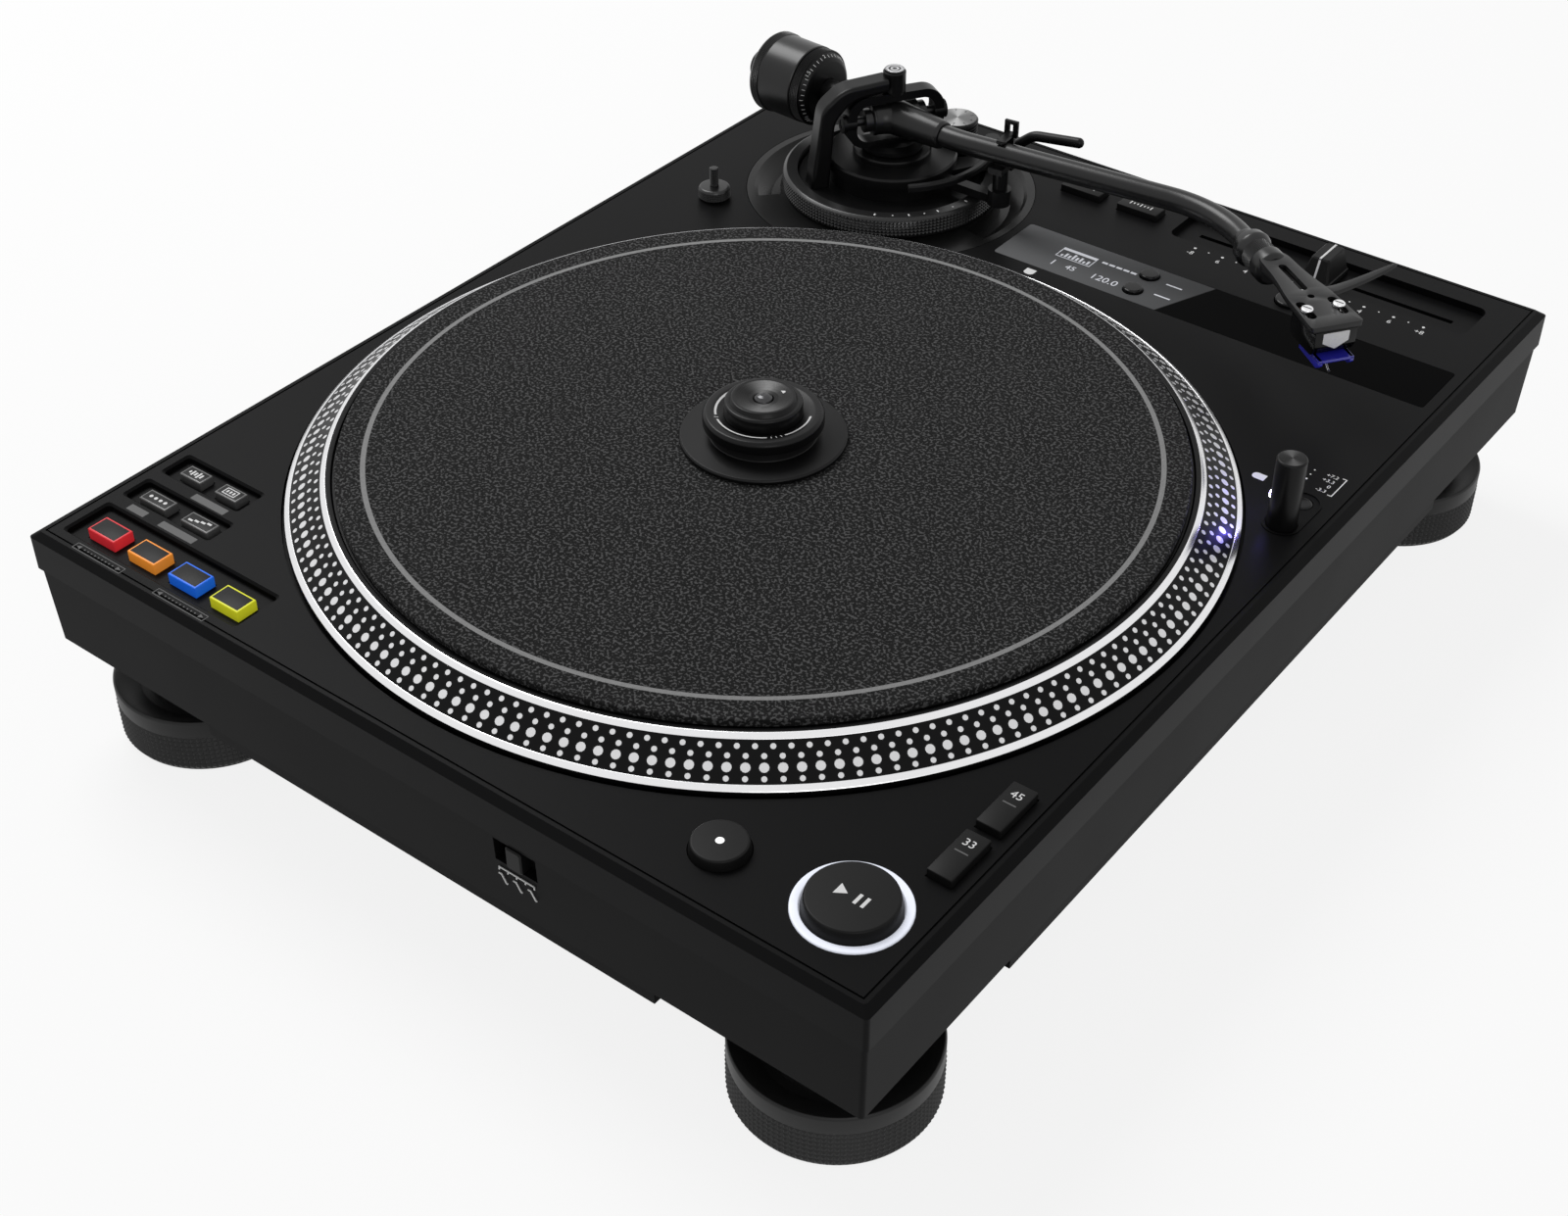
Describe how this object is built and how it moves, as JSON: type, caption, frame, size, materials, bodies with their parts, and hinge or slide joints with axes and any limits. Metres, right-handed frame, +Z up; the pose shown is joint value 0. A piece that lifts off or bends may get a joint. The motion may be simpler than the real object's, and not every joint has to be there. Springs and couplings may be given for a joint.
{
  "type": "dj turntable",
  "caption": "Direct-drive DJ record player with S-shaped tonearm, slipmat, record clamp, coloured pads, pitch fader and pop-up lamp",
  "frame": {"origin": "centre of the box round all pieces, at the level of the four foot soles", "axes": "+Z up; +X right along the front side that has the pads and the start button; +Y towards the back side with the tonearm pivot and the sockets"},
  "size_m": [0.353, 0.453, 0.1408],
  "materials": {
    "deck_black": "black powder coat, fine grain",
    "base_black": "black moulded housing",
    "well_black": "black satin seat of the arm",
    "smoked_glass": "smoked glossy display window",
    "board_green": "green circuit boards, hidden",
    "copper_coil": "enamelled copper coils, hidden",
    "bearing_brass": "turned bearing sleeve, hidden",
    "ring_glow": "white light ring, lit from below",
    "dark_plastic": "dark moulded plastic",
    "platter_metal": "black cast platter with two bright turned rings",
    "mat_felt": "speckled grey felt",
    "bright_steel": "ground steel shaft",
    "magnet_iron": "ring magnet, hidden",
    "arm_black": "satin black anodised metal",
    "head_black": "satin black head",
    "guard_blue": "clear violet blue needle guard",
    "dial_aluminium": "radially brushed dial",
    "key_black": "black button caps",
    "cap_rubber": "soft black fader cap",
    "pad_red": "clear red pad with a black top",
    "pad_orange": "clear orange pad with a black top",
    "pad_blue": "clear blue pad with a black top",
    "pad_yellow": "clear yellow pad with a black top",
    "foot_black": "knurled black foot with a rubber sole"
  },
  "bodies": {
    "plinth": {"top_case": "deck_black", "base_case": "base_black", "bottom_cover": "base_black", "display_window": "smoked_glass", "circuit_boards": "board_green", "motor_stator": "copper_coil", "spindle_bearing": "bearing_brass", "tonearm_well": "well_black", "start_light_ring": "ring_glow", "fader_track": "dark_plastic", "rear_sockets": "dark_plastic"},
    "platter_unit": {"platter": "platter_metal", "slipmat": "mat_felt", "spindle": "bright_steel", "rotor_magnet": "magnet_iron"},
    "record_clamp": {"clamp_body": "arm_black"},
    "clamp_knob": {"clamp_dial": "arm_black"},
    "start_button_body": {"start_button": "key_black"},
    "motor_off_button_body": {"motor_off_button": "key_black"},
    "speed_button_33_body": {"speed_button_33": "key_black"},
    "speed_button_45_body": {"speed_button_45": "key_black"},
    "pad_1_body": {"pad_1": "pad_red"},
    "pad_2_body": {"pad_2": "pad_orange"},
    "pad_3_body": {"pad_3": "pad_blue"},
    "pad_4_body": {"pad_4": "pad_yellow"},
    "mode_button_1_body": {"mode_button_1": "key_black"},
    "mode_button_2_body": {"mode_button_2": "key_black"},
    "mode_button_3_body": {"mode_button_3": "key_black"},
    "mode_button_4_body": {"mode_button_4": "key_black"},
    "tempo_range_button_body": {"tempo_range_button": "key_black"},
    "function_button_body": {"function_button": "key_black"},
    "display_button_upper_body": {"display_button_upper": "key_black"},
    "display_button_lower_body": {"display_button_lower": "key_black"},
    "tempo_reset_button_body": {"tempo_reset_button": "key_black"},
    "lamp_button_body": {"lamp_button": "key_black"},
    "lamp": {"target_lamp": "arm_black"},
    "fader": {"fader_cap": "cap_rubber"},
    "brake": {"brake_slider": "dark_plastic"},
    "switch": {"power_switch": "dark_plastic"},
    "spare_weight": {"auxiliary_weight": "arm_black"},
    "foot_1_body": {"foot_1": "foot_black"},
    "foot_2_body": {"foot_2": "foot_black"},
    "foot_3_body": {"foot_3": "foot_black"},
    "foot_4_body": {"foot_4": "foot_black"},
    "height_adjuster": {"height_ring": "arm_black"},
    "arm_support": {"tonearm_base": "arm_black", "bearing_arch": "arm_black"},
    "gimbal": {"gimbal_ring": "arm_black"},
    "arm": {"arm_root": "arm_black", "arm_tube": "arm_black"},
    "balance_weight": {"counterweight": "arm_black"},
    "balance_scale": {"scale_ring": "arm_black"},
    "head_lock": {"locking_ring": "arm_black"},
    "head": {"headshell": "head_black", "cartridge": "dark_plastic"},
    "stylus": {"stylus_unit": "guard_blue"},
    "rest_clip": {"arm_rest_clip": "dark_plastic"},
    "skate_dial": {"anti_skate_dial": "dial_aluminium"},
    "lever": {"cue_lever": "arm_black"},
    "lifter": {"arm_lifter": "arm_black"}
  },
  "joints": [
    {"name": "platter_spin", "type": "hinge", "parent": "plinth", "child": "platter_unit", "pos_m": [0, -0.045, 0], "axis": [0, 0, 1], "continuous": true},
    {"name": "clamp_lift", "type": "slide", "parent": "platter_unit", "child": "record_clamp", "axis": [0, 0, 1], "range_m": [0, 0.03]},
    {"name": "clamp_turn", "type": "hinge", "parent": "record_clamp", "child": "clamp_knob", "pos_m": [0, -0.045, 0], "axis": [0, 0, 1], "range_deg": [0, 120]},
    {"name": "start_button_press", "type": "slide", "parent": "plinth", "child": "start_button_body", "axis": [0, 0, 1], "range_m": [-0.001, 0], "stiffness_N_per_m": 400},
    {"name": "motor_off_button_press", "type": "slide", "parent": "plinth", "child": "motor_off_button_body", "axis": [0, 0, 1], "range_m": [-0.001, 0], "stiffness_N_per_m": 400},
    {"name": "speed_button_33_press", "type": "slide", "parent": "plinth", "child": "speed_button_33_body", "axis": [0, 0, 1], "range_m": [-0.001, 0], "stiffness_N_per_m": 400},
    {"name": "speed_button_45_press", "type": "slide", "parent": "plinth", "child": "speed_button_45_body", "axis": [0, 0, 1], "range_m": [-0.001, 0], "stiffness_N_per_m": 400},
    {"name": "pad_1_press", "type": "slide", "parent": "plinth", "child": "pad_1_body", "axis": [0, 0, 1], "range_m": [-0.001, 0], "stiffness_N_per_m": 400},
    {"name": "pad_2_press", "type": "slide", "parent": "plinth", "child": "pad_2_body", "axis": [0, 0, 1], "range_m": [-0.001, 0], "stiffness_N_per_m": 400},
    {"name": "pad_3_press", "type": "slide", "parent": "plinth", "child": "pad_3_body", "axis": [0, 0, 1], "range_m": [-0.001, 0], "stiffness_N_per_m": 400},
    {"name": "pad_4_press", "type": "slide", "parent": "plinth", "child": "pad_4_body", "axis": [0, 0, 1], "range_m": [-0.001, 0], "stiffness_N_per_m": 400},
    {"name": "mode_button_1_press", "type": "slide", "parent": "plinth", "child": "mode_button_1_body", "axis": [0, 0, 1], "range_m": [-0.001, 0], "stiffness_N_per_m": 400},
    {"name": "mode_button_2_press", "type": "slide", "parent": "plinth", "child": "mode_button_2_body", "axis": [0, 0, 1], "range_m": [-0.001, 0], "stiffness_N_per_m": 400},
    {"name": "mode_button_3_press", "type": "slide", "parent": "plinth", "child": "mode_button_3_body", "axis": [0, 0, 1], "range_m": [-0.001, 0], "stiffness_N_per_m": 400},
    {"name": "mode_button_4_press", "type": "slide", "parent": "plinth", "child": "mode_button_4_body", "axis": [0, 0, 1], "range_m": [-0.001, 0], "stiffness_N_per_m": 400},
    {"name": "tempo_range_button_press", "type": "slide", "parent": "plinth", "child": "tempo_range_button_body", "axis": [0, 0, 1], "range_m": [-0.001, 0], "stiffness_N_per_m": 400},
    {"name": "function_button_press", "type": "slide", "parent": "plinth", "child": "function_button_body", "axis": [0, 0, 1], "range_m": [-0.001, 0], "stiffness_N_per_m": 400},
    {"name": "display_button_upper_press", "type": "slide", "parent": "plinth", "child": "display_button_upper_body", "axis": [0, 0, 1], "range_m": [-0.001, 0], "stiffness_N_per_m": 400},
    {"name": "display_button_lower_press", "type": "slide", "parent": "plinth", "child": "display_button_lower_body", "axis": [0, 0, 1], "range_m": [-0.001, 0], "stiffness_N_per_m": 400},
    {"name": "tempo_reset_button_press", "type": "slide", "parent": "plinth", "child": "tempo_reset_button_body", "axis": [0, 0, 1], "range_m": [-0.001, 0], "stiffness_N_per_m": 400},
    {"name": "lamp_button_press", "type": "slide", "parent": "plinth", "child": "lamp_button_body", "axis": [0, 0, 1], "range_m": [-0.001, 0], "stiffness_N_per_m": 400},
    {"name": "lamp_rise", "type": "slide", "parent": "plinth", "child": "lamp", "axis": [0, 0, 1], "range_m": [-0.0265, 0]},
    {"name": "fader_slide", "type": "slide", "parent": "plinth", "child": "fader", "axis": [1, 0, 0], "range_m": [-0.05, 0.05]},
    {"name": "brake_slide", "type": "slide", "parent": "plinth", "child": "brake", "axis": [1, 0, 0], "range_m": [-0.0051, 0.0051]},
    {"name": "switch_rock", "type": "hinge", "parent": "plinth", "child": "switch", "pos_m": [0.0756, 0.2075, 0.057], "axis": [-1, 0, 0], "range_deg": [0, 16]},
    {"name": "spare_weight_lift", "type": "slide", "parent": "plinth", "child": "spare_weight", "axis": [0, 0, 1], "range_m": [0, 0.02]},
    {"name": "foot_1_turn", "type": "hinge", "parent": "plinth", "child": "foot_1_body", "pos_m": [-0.1409, -0.1909, 0], "axis": [0, 0, 1], "continuous": true},
    {"name": "foot_2_turn", "type": "hinge", "parent": "plinth", "child": "foot_2_body", "pos_m": [-0.1409, 0.1909, 0], "axis": [0, 0, 1], "continuous": true},
    {"name": "foot_3_turn", "type": "hinge", "parent": "plinth", "child": "foot_3_body", "pos_m": [0.1409, -0.1909, 0], "axis": [0, 0, 1], "continuous": true},
    {"name": "foot_4_turn", "type": "hinge", "parent": "plinth", "child": "foot_4_body", "pos_m": [0.1409, 0.1909, 0], "axis": [0, 0, 1], "continuous": true},
    {"name": "height_turn", "type": "hinge", "parent": "plinth", "child": "height_adjuster", "pos_m": [-0.0855, 0.1525, 0], "axis": [0, 0, 1], "range_deg": [0, 270]},
    {"name": "height_slide", "type": "slide", "parent": "plinth", "child": "arm_support", "axis": [0, 0, 1], "range_m": [0, 0.006]},
    {"name": "arm_swing", "type": "hinge", "parent": "arm_support", "child": "gimbal", "pos_m": [-0.0855, 0.1525, 0], "axis": [0, 0, 1], "range_deg": [-44, 0]},
    {"name": "arm_tilt", "type": "hinge", "parent": "gimbal", "child": "arm", "pos_m": [-0.0855, 0.1525, 0.1195], "axis": [-0.5446, -0.8387, 0], "range_deg": [0, 9]},
    {"name": "weight_slide", "type": "slide", "parent": "arm", "child": "balance_weight", "axis": [-0.9976, 0.0698, 0], "range_m": [0, 0.006]},
    {"name": "scale_turn", "type": "hinge", "parent": "arm", "child": "balance_scale", "pos_m": [-0.0855, 0.1525, 0.1195], "axis": [-0.9976, 0.0698, 0], "range_deg": [-180, 180]},
    {"name": "head_lock_turn", "type": "hinge", "parent": "arm", "child": "head_lock", "pos_m": [0.06109, 0.16289, 0.1195], "axis": [0.8192, -0.5736, 0], "range_deg": [-90, 0]},
    {"name": "head_pull", "type": "slide", "parent": "arm", "child": "head", "axis": [0.8192, -0.5736, 0], "range_m": [0, 0.012]},
    {"name": "stylus_pull", "type": "slide", "parent": "head", "child": "stylus", "axis": [0.8192, -0.5736, 0], "range_m": [0, 0.008]},
    {"name": "clip_open", "type": "hinge", "parent": "arm_support", "child": "rest_clip", "pos_m": [-0.03241, 0.16015, 0.112], "axis": [-0.9936, -0.1132, 0], "range_deg": [0, 75]},
    {"name": "skate_turn", "type": "hinge", "parent": "arm_support", "child": "skate_dial", "pos_m": [-0.073, 0.1825, 0], "axis": [0, 0, 1], "range_deg": [0, 270]},
    {"name": "cue_turn", "type": "hinge", "parent": "arm_support", "child": "lever", "pos_m": [-0.046, 0.1842, 0.1046], "axis": [0.1137, -0.9935, 0], "range_deg": [0, 40]},
    {"name": "lifter_rise", "type": "slide", "parent": "arm_support", "child": "lifter", "axis": [0, 0, 1], "range_m": [0, 0.0044]}
  ],
  "couplings": [
    {"joint": "height_turn", "follows": "height_slide", "rad_per_m": 785.4},
    {"joint": "clip_open", "follows": "arm_tilt", "ratio": 8.3333},
    {"joint": "cue_turn", "follows": "lifter_rise", "rad_per_m": 158.67}
  ]
}
